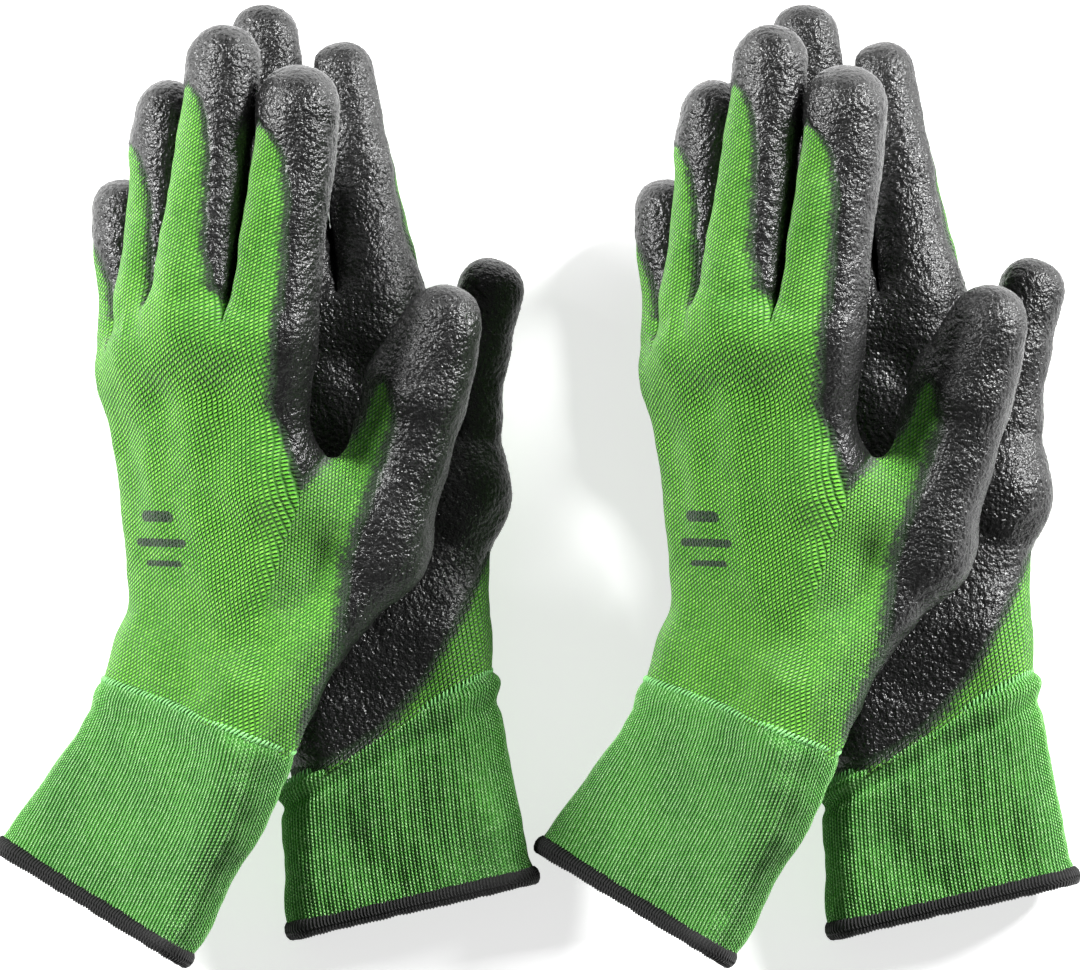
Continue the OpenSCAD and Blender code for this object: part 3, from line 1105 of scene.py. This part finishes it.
def rib_material():
    """Green ribs with pale stitches, every second rib half a stitch up."""
    m = Shader("rib knit")
    knit = m.attribute("knit")
    half = m.math("MULTIPLY", m.math("FLOOR", knit[0]), 0.5)
    row = m.math("FRACT", m.math("ADD", knit[1], half))
    column = m.math("FRACT", m.math("ADD", knit[0], 0.5))
    across = m.math("ABSOLUTE", m.math("SUBTRACT", column, 0.5))
    along = m.math("ABSOLUTE", m.math("SUBTRACT", row, 0.5))
    stitch = m.math("MULTIPLY", m.ramp(across, 0.42, 0.14), m.ramp(along, 0.48, 0.14))
    cloud = m.noise(60, 3)
    fleck = m.noise(700, 2)
    base = m.mix(m.ramp(cloud, 0.35, 0.65), (0.02, 0.13, 0.008, 1), (0.04, 0.2, 0.015, 1))
    pale = m.mix(m.ramp(fleck, 0.4, 0.7), (0.15, 0.50, 0.09, 1), (0.36, 0.74, 0.26, 1))
    color = m.mix(stitch, base, pale)
    bump = m.bump(stitch, 0.0008, 0.9)
    bump = m.bump(fleck, 0.0002, 0.5, bump)
    return m.finish(color, 0.85, bump, sheen=0.15, specular=0.25)


def hem_material():
    """Black thread, wound aslant round the hem."""
    m = Shader("black overlock")
    knit = m.attribute("knit")
    wound = m.math("ADD", knit[0], m.math("MULTIPLY", knit[1], 1.2))
    wave = m.math("SINE", m.math("MULTIPLY", wound, 2 * math.pi))
    color = m.mix(m.noise(800, 2), (0.002, 0.002, 0.002, 1), (0.006, 0.006, 0.006, 1))
    bump = m.bump(m.math("ADD", wave, m.noise(1500, 2)), 0.0002, 0.7)
    return m.finish(color, 0.75, bump, sheen=0.1, specular=0.3)


def thread_material():
    """Mint thread of the cuff seam."""
    m = Shader("seam thread")
    color = m.mix(m.noise(600, 2), (0.12, 0.42, 0.1, 1), (0.26, 0.58, 0.22, 1))
    bump = m.bump(m.noise(2500, 2), 0.0002, 0.6)
    return m.finish(color, 0.8, bump, sheen=0.1, specular=0.3)


# ---------------------------------------------------------------- stage
LENS = 600.0
SENSOR = 36.0
# The view is this much wider than the CAD box, and its middle this much lower, in metres
VIEW_WIDER = 1.001
VIEW_LOW = 0.0011
# The height at which the view is that wide, in metres
VIEW_LEVEL = 0.04
FLOOR_GLOW = 0.68
SURROUND = 0.14


def add_camera():
    """Straight down, on a long lens, with the gloves filling the frame."""
    lo, hi = (np.array(c) for c in CAD_BOX)
    height = (hi[0] - lo[0]) * VIEW_WIDER * LENS / SENSOR + VIEW_LEVEL
    data = bpy.data.cameras.new("camera")
    data.lens = LENS
    cam = bpy.data.objects.new("camera", data)
    mid = (lo + hi) / 2
    cam.location = (mid[0], mid[1] - VIEW_LOW, height)
    data.clip_end = 20
    bpy.context.scene.collection.objects.link(cam)
    bpy.context.scene.camera = cam


def add_light(name, at, size, power):
    """A round soft lamp that looks at the middle of the floor."""
    data = bpy.data.lights.new(name, "AREA")
    data.shape = "DISK"
    data.size = size
    data.energy = power
    obj = bpy.data.objects.new(name, data)
    obj.location = at
    obj.rotation_euler = (-Vector(at)).to_track_quat("-Z", "Y").to_euler()
    bpy.context.scene.collection.objects.link(obj)


def add_stage(z):
    """Pale floor at height z, which glows a little, a dim surround and two lamps."""
    mesh = bpy.data.meshes.new("floor")
    r = 3.0
    mesh.from_pydata([(-r, -r, z), (r, -r, z), (r, r, z), (-r, r, z)], [], [(0, 1, 2, 3)])
    floor = bpy.data.objects.new("floor", mesh)
    bpy.context.scene.collection.objects.link(floor)
    m = Shader("pale floor")
    m.put(m.bsdf.inputs["Emission Color"], (1, 1, 1, 1))
    m.put(m.bsdf.inputs["Emission Strength"], FLOOR_GLOW)
    mesh.materials.append(m.finish((0.8, 0.8, 0.8, 1), 0.9, specular=0.1))
    floor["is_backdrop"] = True
    world = bpy.data.worlds.new("studio")
    world.use_nodes = True
    world.node_tree.nodes["Background"].inputs[0].default_value = (1, 1, 1, 1)
    world.node_tree.nodes["Background"].inputs[1].default_value = SURROUND
    bpy.context.scene.world = world
    bpy.context.scene.view_settings.view_transform = "Standard"
    add_light("key", (-1.05, 0.5, 0.7), 0.4, 44)
    add_light("side", (1.0, 0.6, 0.6), 0.35, 46)


# ---------------------------------------------------------------- the gloves
add_camera()
KNIT, FOAM, RIB, HEM, THREAD = (
    knit_material(), foam_material(), rib_material(), hem_material(), thread_material())
PAIR_STEP = np.subtract(*(joint_of(f"pair{k}_left_index")["pos_m"] for k in (2, 1)))
below = None
for side in ("right", "left"):
    glove = read_glove(side)
    add_skeleton(glove)
    if below:
        glove["below"] = below
    build_hand(glove)
    build_cuff(glove)
    below = glove
add_stage(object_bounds()[0][2])
